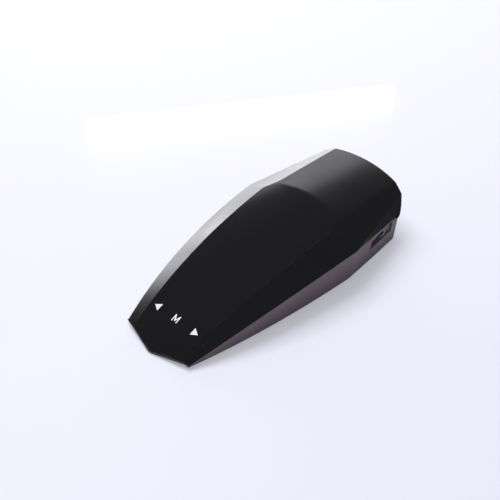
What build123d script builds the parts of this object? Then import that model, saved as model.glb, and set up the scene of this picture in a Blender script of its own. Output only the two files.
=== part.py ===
"""Dashboard radar detector: a faceted wedge with touch keys under a glossy cover.

The key end, the nose, points to -Y and faces the driver. The thick end points to +Y and
faces the road. Distances along the body are counted from the nose tip. Units: millimetres.
"""
from build123d import *
from math import atan2, sqrt, tan
import os

# ------------------------------------------------------------------ outer form
length = 148.8                # nose tip to the middle of the rear face
kink = 99.7                   # nose tip to the corners where the sides turn in
ridge = 102.7                 # nose tip to the ends of the crease across the top
nose_half_width = 19.0        # at the parting line
kink_half_width = 35.6
rear_half_width = 27.3
nose_part_height = 0.3        # height of the parting line
kink_part_height = 20.2
rear_part_height = 13.7
nose_edge_half_width = 14.5   # edges of the top panel
ridge_edge_half_width = 23.0
rear_edge_half_width = 19.6
nose_edge_height = 1.25
ridge_edge_height = 28.2
rear_edge_height = 26.8
rear_shoulder_half_width = 24.3   # where the chamfer meets the steep side behind the kink
rear_shoulder_height = 24.1
nose_crown = 0.3              # rise of the top panel's middle over its edges
ridge_crown = 2.6
behind_ridge_crown = 3.05     # crown of the rear panel, which bows the crease
rear_crown = 1.6
level_margin = 9.9            # past the rear face, where the bowed lines would level out
side_bow = 2.75               # how strongly each line is bowed
part_bow = 2.9
edge_bow = 3.0
top_bow = 2.6
front_draft = 0.17            # lean of the lower wall, outwards on the way up
rear_draft = 0.02
nose_setback = 5.3            # the nose's corners behind its tip, in plan
nose_tip_radius = 6.0
rear_radius = 110.0           # plan radius of the rear face
rear_corner_radius = 7.0
rear_corner_margin = 0.6      # corner outline outside the side walls
rear_lean = 0.2               # lean of the rear face, backwards on the way up

# ------------------------------------------------------------------ shells
cover_wall = 2.0
case_wall = 2.0
case_base = 0.4               # underside of the case, over the table
case_floor_thickness = 1.8
groove = 0.6                  # shadow gap under the cover's edge
reveal = 0.3                  # how far the cover stands out over the case
cavity_start = 9.0            # nose tip to the hollow inside
case_start = 5.6              # nose tip to the case's front edge
skirt_start = 16.0            # the cover's skirt, which locates it inside the case wall
skirt_depth = 1.8
skirt_thickness = 1.0
skirt_clearance = 0.15

# ------------------------------------------------------------------ fasteners and feet
front_screw = (13.0, 34.0)    # half spacing, distance from the nose
front_split_height = 6.0      # where the case's and the cover's bosses meet
rear_screw = (25.5, 103.0)
rear_split_height = 12.0
boss_radius = 3.0
case_screw_radius = 1.2
case_screw_head_radius = 2.3
case_screw_head_height = 1.5
case_screw_grip = 5.5         # length in the cover's boss
screw_clearance = 0.05
head_clearance = 0.25
head_recess = 0.3             # head below the underside
front_foot = (11.0, 19.0)
rear_foot = (19.0, 129.0)
foot_radius = 4.5
foot_thickness = 1.0

# ------------------------------------------------------------------ touch keys
key_distance = 17.2
key_spacing = 12.3
key_half_height = 1.85        # arrow heads
mark_half_height = 1.7        # the mode key's mark
mark_half_width = 1.65
mark_stroke = 0.55
film_thickness = 0.4
film_half_width = 16.0
film_start = 12.0
film_end = 30.0
light_thickness = 0.5
light_half_size = 1.2

# ------------------------------------------------------------------ main board
board_thickness = 1.6
board_half_width = 21.5
board_start = 44.0
board_end = 108.4
wing_start = 106.6            # clear of the rear bosses
wing_inner = 17.0
wing_outer = 26.2
wing_end = 131.0
post_radius = 2.5
post_offset = 18.0
post_front = 50.0
post_rear = 98.0
wing_post = (22.5, 114.0)
board_screw_radius = 0.95
board_screw_head_radius = 1.8
board_screw_head_height = 1.2
board_screw_length = 6.0

# ------------------------------------------------------------------ data port
port_distance = 124.3
port_height = 12.0            # middle of the socket
pocket_length = 18.5
pocket_half_height = 3.0
pocket_face = 28.4            # distance of the pocket's flat face from the middle
pocket_wall = 1.6
aperture_length = 10.7
aperture_height = 5.0
socket_width = 7.7
socket_height = 3.9
socket_depth = 9.2
socket_proud = 0.9            # mouth of the socket over the pocket's face
socket_wall = 0.35
tongue_width = 4.6
tongue_height = 1.0
tongue_setback = 1.2
contact_count = 5
contact_pitch = 0.8

# ------------------------------------------------------------------ display and chips
display_start = 54.0
display_size = (34.0, 14.0, 5.6)
digit_count = 3
digit_pitch = 10.0
digit_width = 6.0
digit_height = 9.0
digit_stroke = 1.2
digit_thickness = 0.3
connector_size = (12.0, 4.0, 2.4)
connector_start = 46.0
strip_half_width = 4.5
strip_thickness = 0.3
antenna_size = 18.0
antenna_height = 4.0
antenna_distance = 92.0
antenna_plate = 14.0
antenna_plate_thickness = 0.3
chip_lift = 0.1               # solder under the chips
cell_radius = 3.4
cell_height = 2.1
cell_place = (16.0, 84.0)

# ------------------------------------------------------------------ loudspeaker
speaker_distance = 74.0
speaker_radius = 14.5
gasket_thickness = 0.6
gasket_width = 2.0
flange_height = 1.0
flange_width = 2.1
basket_depth = 2.0
basket_wall = 0.6
plate_thickness = 0.8
plate_radius = 8.0
gap_radius = 4.2
magnet_radius = 7.0
magnet_height = 1.4
pole_radius = 3.0
pole_depth = 1.0              # into the plate, clear of the cone's travel
coil_inner_radius = 3.3
coil_outer_radius = 3.8
coil_height = 1.1
cone_thickness = 0.4
cone_rise = 1.4
cone_lift = 0.3               # cone's rim over the flange's lower face
surround_width = 0.8
surround_clearance = 0.3
grille_slots = 7
grille_pitch = 3.2
grille_slot_width = 1.5
grille_radius = 11.0

# ------------------------------------------------------------------ radar and laser receivers
horn_start = 109.0
horn_mouth = 137.5
horn_height = 13.0            # middle of the horn
horn_throat = (14.0, 8.0)     # inside width and height
horn_opening = (34.0, 15.0)
horn_wall = 1.2
mixer_size = (15.0, 3.0, 8.0)
horn_post_radius = 2.5
holder_size = (10.0, 6.0, 4.8)    # laser lens holder on the horn's top edge
lens_radius = 1.9
lens_thickness = 1.6
laser_board_size = (12.0, 1.0, 4.8)
diode_size = (3.0, 1.2, 3.0)
window_half_width = 13.0
window_low = 21.8
window_high = 27.4

# ------------------------------------------------------------------ underside
label_size = (30.0, 18.0)
label_thickness = 0.15
label_distance = 104.0

TALL = 60.0                   # reach of cutting solids, past every face


def at(distance):
    """Y of a point at this distance from the nose tip."""
    return distance - length / 2


def bowed(distance, at_nose, at_end, end, power):
    """A line that leaves the nose steeply and flattens towards the rear."""
    level = length + level_margin
    grown = 1 - (1 - distance / level) ** power
    grown_at_end = 1 - (1 - end / level) ** power
    return at_nose + (at_end - at_nose) * grown / grown_at_end


def straight(distance, start, at_start, at_rear):
    """A line that runs straight from its start to the rear face."""
    return at_start + (at_rear - at_start) * (distance - start) / (length - start)


def front_lines(distance):
    """Side, parting height, panel edge, panel height, crown and draft of the front form."""
    side = bowed(distance, nose_half_width, kink_half_width, kink, side_bow)
    part = bowed(distance, nose_part_height, kink_part_height, kink, part_bow)
    edge = bowed(distance, nose_edge_half_width, ridge_edge_half_width, ridge, edge_bow)
    top = bowed(distance, nose_edge_height, ridge_edge_height, ridge, top_bow)
    crown = nose_crown + (ridge_crown - nose_crown) * distance / ridge
    return side, part, edge, top, crown, front_draft


def rear_lines(distance):
    """The same lines behind the kink."""
    side = straight(distance, kink, kink_half_width, rear_half_width)
    part = straight(distance, kink, kink_part_height, rear_part_height)
    edge = straight(distance, ridge, ridge_edge_half_width, rear_edge_half_width)
    top = straight(distance, ridge, ridge_edge_height, rear_edge_height)
    crown = straight(distance, ridge, behind_ridge_crown, rear_crown)
    return side, part, edge, top, crown, straight(distance, kink, front_draft, rear_draft)


def cover_outline(distance, lines, inset, run_on):
    """Closed section of the cover's form: a crowned panel and a chamfer on each side.

    The chamfers run on below the parting line, where a separate cut trims them.
    """
    side, part, edge, top, crown = lines[:5]
    fall = atan2(top - part, side - edge)
    y = at(distance)
    corner_x = edge - inset * tan(fall / 2)
    corner_z = top - inset
    drop = top - part + run_on
    foot_x = corner_x + drop / tan(fall)
    foot_z = corner_z - drop
    right = Vector(corner_x, y, corner_z)
    left = Vector(-corner_x, y, corner_z)
    foot_right = Vector(foot_x, y, foot_z)
    foot_left = Vector(-foot_x, y, foot_z)
    panel = Edge.make_three_point_arc(right, Vector(0, y, corner_z + max(crown, 0.05)), left)
    return Wire([
        Edge.make_line(foot_left, foot_right),
        Edge.make_line(foot_right, right),
        panel,
        Edge.make_line(left, foot_left),
    ])


def case_outline(distance, lines, inset, run_on):
    """Closed section of the case's form: a flat underside and two drafted walls.

    The walls run on above and below, where separate cuts trim them.
    """
    side = lines[0]
    part = lines[1]
    lean = lines[5]
    y = at(distance)
    at_part = side - reveal - inset
    low = at_part - lean * (part + run_on)
    high = at_part + lean * run_on
    corners = [(-low, -run_on), (low, -run_on), (high, part + run_on), (-high, part + run_on)]
    points = [Vector(x, y, z) for x, z in corners]
    return Wire([Edge.make_line(points[i], points[(i + 1) % 4]) for i in range(4)])


def front_form(outline, inset):
    """Loft of the front form, run on past the rear face."""
    stations = [-8.0, 6.0, 22.0, 42.0, 66.0, 94.0, 124.0, length + 8.0]
    return Solid.make_loft([outline(s, front_lines(s), inset, 3.0) for s in stations])


def case_form(inset):
    """The case's drafted walls, moved inwards by an inset."""
    lead = kink - 12.0
    end = length + 16.0
    rear = Solid.make_loft([case_outline(s, rear_lines(s), inset, 5.0) for s in (lead, end)], True)
    behind = block(-TALL, TALL, lead, end + 1, -TALL, TALL)
    return front_form(case_outline, inset) - (behind - rear)


def over_rear_panel(inset):
    """Everything over the crowned rear panel."""
    reach = 40.0
    faces = []
    for distance in (kink - 12.0, length + 12.0):
        edge, top, crown = rear_lines(distance)[2:5]
        radius = (edge ** 2 + crown ** 2) / (2 * crown)
        peak = Vector(0, at(distance), top + crown - inset)
        fall = radius - sqrt(radius ** 2 - reach ** 2)
        left = Vector(-reach, at(distance), peak.Z - fall)
        right = Vector(reach, at(distance), peak.Z - fall)
        roof_left = Vector(-reach, at(distance), TALL)
        roof_right = Vector(reach, at(distance), TALL)
        faces.append(Wire([
            Edge.make_three_point_arc(left, peak, right),
            Edge.make_line(right, roof_right),
            Edge.make_line(roof_right, roof_left),
            Edge.make_line(roof_left, left),
        ]))
    return Solid.make_loft(faces, True)


def outside_plane(first, second, third, inset):
    """Everything on the outer side of a plane through three points, moved inwards by an inset."""
    outward = (second - first).cross(third - first).normalized()
    plane = Plane(origin=first - outward * inset, z_dir=outward)
    return plane * Pos(0, 0, TALL) * Box(8 * TALL, 8 * TALL, 2 * TALL)


def cover_form(inset):
    """The cover's crowned panels, chamfers and steep rear sides, moved inwards by an inset."""
    corner = Vector(kink_half_width, at(kink), kink_part_height)
    shoulder = Vector(rear_shoulder_half_width, at(length), rear_shoulder_height)
    edge = Vector(rear_edge_half_width, at(length), rear_edge_height)
    part = Vector(rear_half_width, at(length), rear_part_height)
    body = front_form(cover_outline, inset) - over_rear_panel(inset)
    cuts = [outside_plane(corner, shoulder, edge, inset), outside_plane(corner, part, shoulder, inset)]
    for cut in cuts:
        body = body - cut - mirror(cut, Plane.YZ)
    return body


def block(x0, x1, s0, s1, z0, z1):
    """Box between two x, two distances from the nose and two heights."""
    centre = Pos((x0 + x1) / 2, (at(s0) + at(s1)) / 2, (z0 + z1) / 2)
    return centre * Box(x1 - x0, s1 - s0, z1 - z0)


def rod(x, distance, z0, z1, radius):
    """Upright cylinder between two heights."""
    return Pos(x, at(distance), (z0 + z1) / 2) * Cylinder(radius, z1 - z0)


def tube(x, distance, z0, z1, outer, inner):
    """Upright tube between two heights."""
    return rod(x, distance, z0, z1, outer) - rod(x, distance, z0 - 1, z1 + 1, inner)


def nose_prism():
    """Everything behind the nose's two straight faces, which meet in a rounded tip."""
    fall = nose_setback / nose_half_width
    tip_cut = nose_tip_radius * (sqrt(1 + fall ** 2) - 1)
    tip = at(-tip_cut)
    side = tip + fall * TALL
    corners = [(0, tip), (TALL, side), (TALL, at(length) + TALL), (-TALL, at(length) + TALL), (-TALL, side)]
    outline = make_face(Polyline(*corners, close=True))
    outline = fillet(outline.vertices().sort_by(Axis.Y)[0], nose_tip_radius)
    return extrude(outline, TALL, both=True)


def rear_prism(inset):
    """Everything ahead of the rear face, which is curved, rounded at its corners and leans back."""
    foot = length - rear_lean * (rear_edge_height + rear_crown)
    near = foot - 50.0
    taper = (kink_half_width - rear_half_width) / (length - kink)
    rear_half = rear_half_width + rear_corner_margin - inset
    near_half = rear_half + taper * (foot - near)
    corners = [(-near_half, at(near)), (near_half, at(near)),
               (rear_half, at(foot)), (rear_half, at(foot) + 1),
               (-rear_half, at(foot) + 1), (-rear_half, at(foot))]
    sides = Polyline(*corners, close=True)
    outline = make_face(sides) & (Pos(0, at(foot) - rear_radius) * Circle(rear_radius - inset))
    outline = fillet(outline.vertices().sort_by(Axis.Y)[-2:], rear_corner_radius - inset)
    ahead = block(-TALL, TALL, -TALL, near + 15, 0, TALL)
    return extrude(outline, TALL, dir=(0, rear_lean, 1)) + ahead


def parting_slab(low, high):
    """Everything between two levels, each given as a shift from the parting line."""
    stations = [-6.0, 4.0, 12.0, 24.0, 38.0, 54.0, 72.0, 88.0, kink]
    line = [(at(s), front_lines(s)[1]) for s in stations]
    end = length + 12.0
    rear = (at(end), rear_lines(end)[1])
    lower = [Vector(-TALL, y, z + low) for y, z in line]
    upper = [Vector(-TALL, y, z + high) for y, z in line]
    lower_rear = Vector(-TALL, rear[0], rear[1] + low)
    upper_rear = Vector(-TALL, rear[0], rear[1] + high)
    edges = [
        Edge.make_spline(lower),
        Edge.make_line(lower[-1], lower_rear),
        Edge.make_line(lower_rear, upper_rear),
        Edge.make_line(upper_rear, upper[-1]),
        Edge.make_spline(upper),
        Edge.make_line(upper[0], lower[0]),
    ]
    return extrude(Face(Wire(edges)), 2 * TALL, dir=(1, 0, 0))


def pairs(place):
    """The two mirrored places at this half spacing and distance."""
    return [(-place[0], place[1]), (place[0], place[1])]


# ------------------------------------------------------------------ levels that pieces share
floor_top = case_base + case_floor_thickness
board_top = port_height - socket_height / 2
board_low = board_top - board_thickness
ceiling = cover_form(cover_wall)
horn_low = horn_height - horn_opening[1] / 2 - horn_wall
horn_top = horn_height + horn_opening[1] / 2 + horn_wall
aperture_low = port_height - aperture_height / 2
socket_mouth = pocket_face + socket_proud
screw_places = [(x, s, front_split_height) for x, s in pairs(front_screw)]
screw_places += [(x, s, rear_split_height) for x, s in pairs(rear_screw)]
post_places = pairs((post_offset, post_front)) + pairs((post_offset, post_rear))
foot_places = pairs(front_foot) + pairs(rear_foot)


def chevron_mark(direction):
    """Outline of a filled arrow head that points to -X or +X."""
    tip = direction * key_half_height * 1.1
    back = -direction * key_half_height * 0.75
    corners = [(tip, 0), (back, key_half_height), (back, -key_half_height)]
    return make_face(Polyline(*corners, close=True))


def mode_mark():
    """Outline of the mode key's letter, two posts and a V between them."""
    w = mark_half_width
    h = mark_half_height
    k = mark_stroke
    corners = [(-w, -h), (-w, h), (-w + k, h), (0, -h * 0.15), (w - k, h), (w, h), (w, -h)]
    corners += [(w - k, -h), (w - k, h - 2.3 * k), (0, -h * 0.85), (-w + k, h - 2.3 * k), (-w + k, -h)]
    return make_face(Polyline(*corners, close=True))


def key_prism(mark, x):
    """A mark's upright prism through the cover at its key."""
    return extrude(Pos(x, at(key_distance), 0) * mark, TALL)


key_prisms = {
    "left_key_light": key_prism(chevron_mark(-1), -key_spacing),
    "mode_key_light": key_prism(mode_mark(), 0),
    "right_key_light": key_prism(chevron_mark(1), key_spacing),
}


def window_block():
    """Box that parts the rear window from the cover's rear wall."""
    return block(-window_half_width, window_half_width, length - 25, length + 9, window_low, window_high)


def cover_shell():
    """The cover's crowned top, chamfers and faces, hollow underneath."""
    outer = cover_form(0) & nose_prism() & rear_prism(0)
    outer = outer & parting_slab(0, TALL) & block(-TALL, TALL, -TALL, 2 * TALL + length, case_base, TALL)
    hollow = ceiling & rear_prism(cover_wall) & block(-TALL, TALL, cavity_start, length + TALL, -TALL, TALL)
    return outer - hollow


shell = cover_shell()


def cover_rim():
    """A ledge inside the cover's edge, and the skirt that drops from it into the case.

    The skirt stops short of the port's pad on both sides.
    """
    skirt_inset = case_wall + skirt_clearance
    inner_inset = skirt_inset + skirt_thickness
    length_range = block(-TALL, TALL, skirt_start, length + TALL, 0, TALL)
    ledge = cover_form(1.0) & rear_prism(1.0) & parting_slab(0, 1.2)
    skirt = case_form(skirt_inset) & rear_prism(reveal + skirt_inset)
    half = pocket_length / 2 + pocket_wall + 2 * skirt_clearance
    skirt = skirt & parting_slab(-skirt_depth, 0.2)
    skirt -= block(0, TALL, port_distance - half, port_distance + half, 0, TALL)
    inside = case_form(inner_inset) & rear_prism(reveal + inner_inset)
    return ((ledge + skirt) & length_range) - inside


def make_top_cover():
    """Glossy cover with its rim, its screw bosses and the holes for the key lights."""
    cover = shell + cover_rim()
    roof = cover_form(cover_wall / 2)
    for x, distance, split in screw_places:
        cover += rod(x, distance, split, TALL, boss_radius) & roof
        cover -= rod(x, distance, split - 1, split + case_screw_grip + 0.5,
                     case_screw_radius + screw_clearance)
    for prism in key_prisms.values():
        cover -= prism
    return cover - window_block()


def case_shell():
    """The case's floor and drafted walls."""
    outer = case_form(0) & nose_prism() & rear_prism(reveal)
    outer = outer & parting_slab(-TALL, -groove)
    outer = outer & block(-TALL, TALL, case_start, length + TALL, case_base, TALL)
    hollow = case_form(case_wall) & rear_prism(reveal + case_wall)
    return outer, hollow & block(-TALL, TALL, cavity_start, length + TALL, floor_top, TALL)


def port_pad():
    """Thick stretch of wall behind the port's pocket."""
    half = pocket_length / 2 + pocket_wall
    inner = pocket_face - pocket_wall
    low = port_height - pocket_half_height - pocket_wall
    return block(inner, TALL, port_distance - half, port_distance + half, low, TALL)


def port_cuts():
    """The pocket in the wall and the socket's aperture in the pocket's face."""
    half = pocket_length / 2
    low = port_height - pocket_half_height
    high = port_height + pocket_half_height
    pocket = block(pocket_face, TALL, port_distance - half, port_distance + half, low, high)
    reach = aperture_length / 2
    aperture = block(pocket_face - pocket_wall - 1, pocket_face + 1, port_distance - reach,
                     port_distance + reach, aperture_low, aperture_low + aperture_height)
    return pocket + aperture


def grille_cuts():
    """Parallel slots through the floor, under the loudspeaker."""
    middle = (grille_slots - 1) / 2
    cuts = []
    for i in range(grille_slots):
        shift = (i - middle) * grille_pitch
        half = sqrt(grille_radius ** 2 - shift ** 2)
        slot = Pos(0, at(speaker_distance + shift), 0) * SlotOverall(2 * half, grille_slot_width)
        cuts.append(extrude(slot, floor_top + 1))
    return cuts


def make_lower_case():
    """Matte case with its bosses, posts, port pocket, grille, foot and label recesses."""
    outer, hollow = case_shell()
    case = outer - hollow
    case += port_pad() & outer
    for x, distance, split in screw_places:
        case += rod(x, distance, case_base, split, boss_radius)
    for x, distance in post_places + [wing_post]:
        case += rod(x, distance, floor_top - 0.5, board_low, post_radius)
    for x, distance in pairs((horn_opening[0] / 2 - 3, horn_mouth - 6)):
        post_top = horn_foot_height(distance + horn_post_radius)
        case += rod(x, distance, floor_top - 0.5, post_top, horn_post_radius)
    for x, distance, split in screw_places:
        case -= rod(x, distance, 0, split + 1, case_screw_radius + screw_clearance)
        head_top = case_base + head_recess + case_screw_head_height
        case -= rod(x, distance, 0, head_top, case_screw_head_radius + head_clearance)
    for x, distance in post_places:
        depth = board_top - board_screw_length - 0.3
        case -= rod(x, distance, depth, board_top, board_screw_radius + screw_clearance)
    for x, distance in foot_places:
        case -= rod(x, distance, 0, foot_thickness, foot_radius)
    for cut in grille_cuts():
        case -= cut
    half_x = label_size[0] / 2
    half_s = label_size[1] / 2
    case -= block(-half_x, half_x, label_distance - half_s, label_distance + half_s,
                  0, case_base + label_thickness)
    return case - port_cuts()


def horn_foot_height(distance):
    """Height of the horn's underside at a distance from the nose."""
    share = (distance - horn_start) / (horn_mouth - horn_start)
    throat_low = horn_height - horn_throat[1] / 2 - horn_wall
    return throat_low + (horn_low - throat_low) * share


def make_case_screws():
    """Four screws from the case's underside into the cover's bosses."""
    screws = []
    for x, distance, split in screw_places:
        head_low = case_base + head_recess
        head_top = head_low + case_screw_head_height
        screw = rod(x, distance, head_low, head_top, case_screw_head_radius)
        screw += rod(x, distance, head_top, split + case_screw_grip, case_screw_radius)
        cross = Pos(x, at(distance), head_low) * (Box(2.6, 0.6, 1.4) + Box(0.6, 2.6, 1.4))
        screws.append(screw - cross)
    return Compound(screws)


def make_board_screws():
    """Four screws that hold the main board on its posts."""
    screws = []
    for x, distance in post_places:
        head_top = board_top + board_screw_head_height
        screw = rod(x, distance, board_top, head_top, board_screw_head_radius)
        screw += rod(x, distance, board_top - board_screw_length, board_top, board_screw_radius)
        cross = Pos(x, at(distance), head_top) * (Box(2.0, 0.5, 1.0) + Box(0.5, 2.0, 1.0))
        screws.append(screw - cross)
    return Compound(screws)


def make_rubber_feet():
    """Four round feet, glued into recesses in the underside."""
    feet = []
    for x, distance in foot_places:
        foot = rod(x, distance, 0, foot_thickness, foot_radius)
        feet.append(chamfer(foot.edges().group_by(Axis.Z)[0], 0.25))
    return Compound(feet)


def make_rating_label():
    """Blank label in its recess under the case."""
    half_x = label_size[0] / 2
    half_s = label_size[1] / 2
    return block(-half_x, half_x, label_distance - half_s, label_distance + half_s,
                 case_base, case_base + label_thickness)


def make_touch_film():
    """Thin printed circuit glued under the cover, with the electrodes of the three keys."""
    film = ceiling - cover_form(cover_wall + film_thickness)
    return film & block(-film_half_width, film_half_width, film_start, film_end, 0, TALL)


def make_key_lamps():
    """One small lamp under each key."""
    lamps = []
    under = cover_form(cover_wall + film_thickness)
    lower = cover_form(cover_wall + film_thickness + light_thickness)
    for x in (-key_spacing, 0, key_spacing):
        column = block(x - light_half_size, x + light_half_size, key_distance - light_half_size,
                       key_distance + light_half_size, 0, TALL)
        lamps.append((under - lower) & column)
    return Compound([solid for lamp in lamps for solid in lamp.solids()])


def under_film(distance):
    """Height of the film's underside over the middle line."""
    lines = front_lines(distance)
    return lines[3] + lines[4] - cover_wall - film_thickness


def make_film_tail():
    """Flat strip from the touch film to its connector on the main board."""
    start = film_end - 4.0
    end = connector_start
    start_z = under_film(start)
    end_z = board_top + connector_size[2] / 2
    corners = [(at(start), start_z), (at(end), end_z + strip_thickness), (at(end), end_z),
               (at(start), start_z - strip_thickness)]
    points = [Vector(-strip_half_width, y, z) for y, z in corners]
    face = Face(Wire([Edge.make_line(points[i], points[(i + 1) % 4]) for i in range(4)]))
    return extrude(face, 2 * strip_half_width, dir=(1, 0, 0))


def make_main_board():
    """Circuit board with a wing that carries the data port."""
    board = block(-board_half_width, board_half_width, board_start, board_end, board_low, board_top)
    board += block(wing_inner, wing_outer, wing_start, wing_end, board_low, board_top)
    for x, distance in post_places:
        board -= rod(x, distance, 0, TALL, board_screw_radius + 0.2)
    return board


def on_board(x, distance, size, lift=chip_lift):
    """A block that sits on the board, centred at x and at a distance from the nose."""
    low = board_top + lift
    return block(x - size[0] / 2, x + size[0] / 2, distance - size[1] / 2, distance + size[1] / 2,
                 low, low + size[2])


def make_display():
    """Housing of the number display under the dark cover."""
    middle = display_start + display_size[1] / 2
    return on_board(0, middle, display_size, 0)


def make_digits():
    """Lit bars of the number display, seven to a digit."""
    low = board_top + display_size[2]
    middle = display_start + display_size[1] / 2
    bars = []
    for i in range(digit_count):
        x = (i - (digit_count - 1) / 2) * digit_pitch
        half = digit_height / 2
        wide = digit_width / 2 - digit_stroke
        for shift in (-half + digit_stroke / 2, 0, half - digit_stroke / 2):
            bars.append(block(x - wide, x + wide, middle + shift - digit_stroke / 2,
                              middle + shift + digit_stroke / 2, low, low + digit_thickness))
        for side in (-1, 1):
            for end in (-1, 1):
                bar_x = x + side * (digit_width - digit_stroke) / 2
                near = digit_stroke / 2 + 0.2
                far = half - digit_stroke - 0.2
                bars.append(block(bar_x - digit_stroke / 2, bar_x + digit_stroke / 2,
                                  middle + min(end * near, end * far), middle + max(end * near, end * far),
                                  low, low + digit_thickness))
    return Compound([solid for bar in bars for solid in bar.solids()])


def make_socket_shell():
    """Metal shell of the data port, open towards the pocket."""
    x0 = socket_mouth - socket_depth
    half = socket_width / 2
    low = board_top
    high = low + socket_height
    shell_box = block(x0, socket_mouth, port_distance - half, port_distance + half, low, high)
    wall = socket_wall
    bore = block(x0 + wall, socket_mouth + 1, port_distance - half + wall, port_distance + half - wall,
                 low + wall, high - wall)
    corners = shell_box.edges().filter_by(Axis.X).group_by(Axis.Z)[-1]
    bore_corners = bore.edges().filter_by(Axis.X).group_by(Axis.Z)[-1]
    return chamfer(corners, 0.9) - chamfer(bore_corners, 0.8)


def make_socket_tongue():
    """Insulating tongue that carries the contacts inside the port."""
    x0 = socket_mouth - socket_depth + socket_wall
    half = tongue_width / 2
    middle = board_top + socket_height / 2
    half_bore = socket_width / 2 - socket_wall - 0.9
    base = block(x0, x0 + 2.0, port_distance - half_bore, port_distance + half_bore,
                 board_top + socket_wall, board_top + socket_height - socket_wall)
    base += block(x0, socket_mouth - tongue_setback, port_distance - half, port_distance + half,
                  middle - tongue_height / 2, middle + tongue_height / 2)
    return base


def make_socket_contacts():
    """Row of contacts along the tongue's lower face."""
    x0 = socket_mouth - socket_depth + socket_wall + 2.0
    low = board_top + socket_height / 2 - tongue_height / 2
    contacts = []
    for i in range(contact_count):
        middle = port_distance + (i - (contact_count - 1) / 2) * contact_pitch
        contacts.append(block(x0, socket_mouth - tongue_setback - 0.4, middle - 0.2, middle + 0.2,
                              low - 0.15, low))
    return Compound(contacts)


# ------------------------------------------------------------------ loudspeaker levels
gasket_top = floor_top + gasket_thickness
flange_top = gasket_top + flange_height
plate_low = flange_top + basket_depth
plate_top = plate_low + plate_thickness
cone_low = gasket_top + cone_lift
cone_radius = speaker_radius - flange_width - surround_width - surround_clearance
cone_top = cone_low + cone_rise + cone_thickness


def ring(z0, z1, outer, inner):
    """Ring about the loudspeaker's axis."""
    return tube(0, speaker_distance, z0, z1, outer, inner)


def turned(corners):
    """Solid of revolution about the loudspeaker's axis from radius and height pairs."""
    outline = make_face(Polyline(*corners, close=True))
    return Pos(0, at(speaker_distance), 0) * revolve(Plane.XZ * outline, Axis.Z)


def make_basket():
    """Steel frame: a flange, a sloping cup and the front plate with the magnet gap."""
    wall = basket_wall
    rim = speaker_radius
    throat = plate_radius
    cup = turned([(rim - flange_width + wall, flange_top), (rim - wall, flange_top),
                  (throat, plate_low + wall), (throat - wall, plate_low)])
    flange = ring(gasket_top, flange_top, rim, rim - flange_width)
    return flange + cup + ring(plate_low, plate_top, throat, gap_radius)


def make_magnet():
    """Magnet with its pole, which reaches down through the plate."""
    disc = rod(0, speaker_distance, plate_top, plate_top + magnet_height, magnet_radius)
    return disc + rod(0, speaker_distance, plate_top - pole_depth, plate_top, pole_radius)


def make_cone():
    """Paper cone with its flat dust cap."""
    inner = coil_outer_radius
    thick = cone_thickness
    return turned([(0, cone_low + cone_rise), (inner, cone_low + cone_rise), (cone_radius, cone_low),
                   (cone_radius, cone_low + thick), (inner, cone_top), (0, cone_top)])


# ------------------------------------------------------------------ receivers
def horn_block(width, height, start, mouth, throat):
    """Pyramid between a throat and a mouth, both given as inside width and height."""
    sizes = [(throat[0] + 2 * width, throat[1] + 2 * height, start)]
    sizes.append((horn_opening[0] + 2 * width, horn_opening[1] + 2 * height, mouth))
    faces = []
    for wide, high, distance in sizes:
        plane = Plane(origin=(0, at(distance), horn_height), x_dir=(1, 0, 0), z_dir=(0, 1, 0))
        faces.append(plane * Rectangle(wide, high))
    return loft(faces, ruled=True)


def make_horn():
    """Cast horn antenna: a flared funnel closed at its throat."""
    outer = horn_block(horn_wall, horn_wall, horn_start, horn_mouth, horn_throat)
    inner = horn_block(0, 0, horn_start, horn_mouth, horn_throat)
    closed = block(-TALL, TALL, horn_start + horn_wall, horn_mouth + 1, 0, TALL)
    return outer - (inner & closed)


def behind_horn(size, start):
    """A block over the horn's top edge, from a distance on."""
    return block(-size[0] / 2, size[0] / 2, start, start + size[1], horn_top, horn_top + size[2])


def lens_rod(start, end, radius):
    """Level cylinder on the laser lens's axis between two distances."""
    middle = horn_top + holder_size[2] / 2
    return Pos(0, (at(start) + at(end)) / 2, middle) * Rot(90, 0, 0) * Cylinder(radius, end - start)


holder_start = horn_mouth - holder_size[1]
laser_board_start = holder_start - laser_board_size[1]


def make_laser_holder():
    """Holder bored through for the lens and the receiving diode."""
    bore = lens_rod(holder_start - 1, horn_mouth + 1, lens_radius + screw_clearance)
    diode = diode_block(screw_clearance)
    return behind_horn(holder_size, holder_start) - bore - diode


def diode_block(room):
    """The receiving diode, or the room for it in the holder."""
    middle = horn_top + holder_size[2] / 2
    half_x = diode_size[0] / 2 + room
    half_z = diode_size[2] / 2 + room
    return block(-half_x, half_x, holder_start, holder_start + diode_size[1] + room,
                 middle - half_z, middle + half_z)


def make_laser_lens():
    """Plug-shaped lens with a domed outer face."""
    lens = lens_rod(horn_mouth - lens_thickness, horn_mouth, lens_radius)
    return fillet(lens.edges().sort_by(Axis.Y)[-1], 0.4)


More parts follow.
